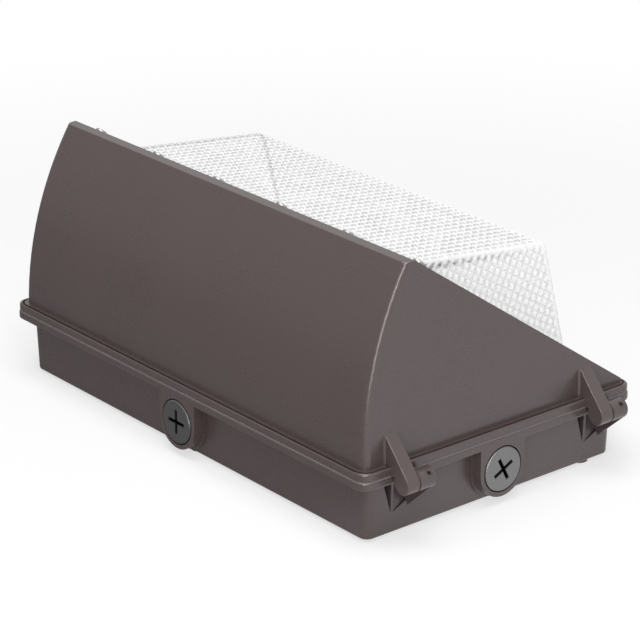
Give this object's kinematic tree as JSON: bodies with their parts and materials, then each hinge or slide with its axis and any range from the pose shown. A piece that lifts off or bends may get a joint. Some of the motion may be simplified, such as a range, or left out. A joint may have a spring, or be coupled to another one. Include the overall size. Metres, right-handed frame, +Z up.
{
  "type": "outdoor wall light",
  "caption": "Wall-pack outdoor light: cast back housing, end-hinged hood with a prismatic glass refractor on its sloped front, inner LED module and driver, plugged conduit hubs.",
  "frame": {"origin": "centre of the supply cable entry, on the wall plane that the housing's back pads rest on", "axes": "+Y into the wall, so the light stands out towards -Y; +Z up; +X to the right seen from the front"},
  "size_m": [0.3905, 0.1689, 0.2206],
  "materials": {
    "bronze_coat": "fine-textured dark bronze powder coat",
    "bronze_plug": "satin dark bronze paint",
    "clear_glass": "clear prismatic pressed glass",
    "black_rubber": "moulded silicone rubber",
    "steel": "plain stainless steel",
    "black_steel": "black-oxide steel",
    "bracket_sheet": "mill-finish sheet",
    "zinc_sheet": "zinc-plated sheet",
    "white_film": "white reflecting film",
    "board_mask": "white solder mask",
    "phosphor": "yellow phosphor",
    "driver_case": "light grey paint",
    "terminal_plastic": "moulded black plastic",
    "brass": "plain brass",
    "ground_green": "green",
    "lead_black": "black insulation",
    "lead_white": "white insulation",
    "lead_red": "red insulation",
    "lead_blue": "blue insulation"
  },
  "bodies": {
    "housing": {"back_housing": "bronze_coat", "housing_gasket": "black_rubber", "conduit_plug_top": "bronze_plug", "conduit_plug_hinge_end": "bronze_plug", "conduit_plug_latch_end": "bronze_plug", "plug_seal_rings": "black_rubber", "entry_grommet": "black_rubber", "hinge_pins": "steel", "hinge_washers": "steel", "pin_set_screws": "black_steel", "led_bracket": "bracket_sheet", "bracket_screws": "steel", "led_board_upper": "board_mask", "led_board_lower": "board_mask", "led_chips": "phosphor", "board_screws": "steel", "board_jumpers": "lead_red", "reflector_film": "white_film", "led_driver": "driver_case", "driver_screws": "steel", "terminal_block": "terminal_plastic", "terminal_mount_screws": "steel", "terminal_screws": "brass", "ground_lug": "brass", "ground_screw": "ground_green", "line_lead": "lead_black", "neutral_lead": "lead_white", "ground_lead": "ground_green", "led_lead_positive": "lead_red", "led_lead_negative": "lead_blue"},
    "cover": {"front_cover": "bronze_coat", "glass_refractor": "clear_glass", "glass_gasket": "black_rubber", "glass_retainer_upper": "zinc_sheet", "glass_retainer_lower": "zinc_sheet", "retainer_screws": "steel", "screw_retaining_washers": "steel"},
    "upper_screw": {"cover_screw_upper": "steel"},
    "lower_screw": {"cover_screw_lower": "steel"}
  },
  "joints": [
    {"name": "cover_hinge", "type": "hinge", "parent": "housing", "child": "cover", "pos_m": [-0.189, -0.0415, 0], "axis": [0, 0, -1], "range_deg": [0, 110]},
    {"name": "upper_screw_travel", "type": "slide", "parent": "cover", "child": "upper_screw", "axis": [0, -1, 0], "range_m": [0, 0.008]},
    {"name": "lower_screw_travel", "type": "slide", "parent": "cover", "child": "lower_screw", "axis": [0, -1, 0], "range_m": [0, 0.008]}
  ]
}
